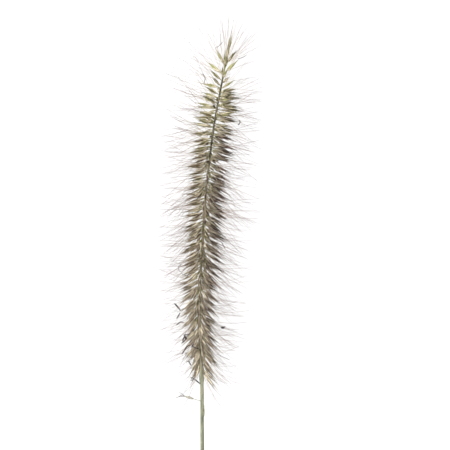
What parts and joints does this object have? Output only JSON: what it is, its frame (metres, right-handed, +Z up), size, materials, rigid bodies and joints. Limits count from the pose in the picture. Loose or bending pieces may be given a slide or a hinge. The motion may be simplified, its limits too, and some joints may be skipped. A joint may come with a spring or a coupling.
{
  "type": "fountain grass plume",
  "caption": "Bristly, gently bowed seed plume of an ornamental grass with a short cut stem, lying on a surface; for dried arrangements and planting scenes.",
  "frame": {"origin": "on the surface that the plume lies on, under the middle of its footprint", "axes": "+Y along the plume from the cut end of the stem to the tip of the head, +Z up from the surface, +X to the right when seen from above with the tip away from the viewer"},
  "size_m": [0.0428, 0.1818, 0.0303],
  "materials": {
    "straw_green": "satin grass stalk",
    "seed_brown": "matt papery seed scales with purple-brown bristles",
    "withered_grey": "matt withered seed scales",
    "dry_straw": "dry papery scale"
  },
  "bodies": {
    "root": {"stem": "straw_green", "head": "seed_brown", "lone_spikelet": "withered_grey", "stem_scale": "dry_straw"}
  },
  "joints": []
}
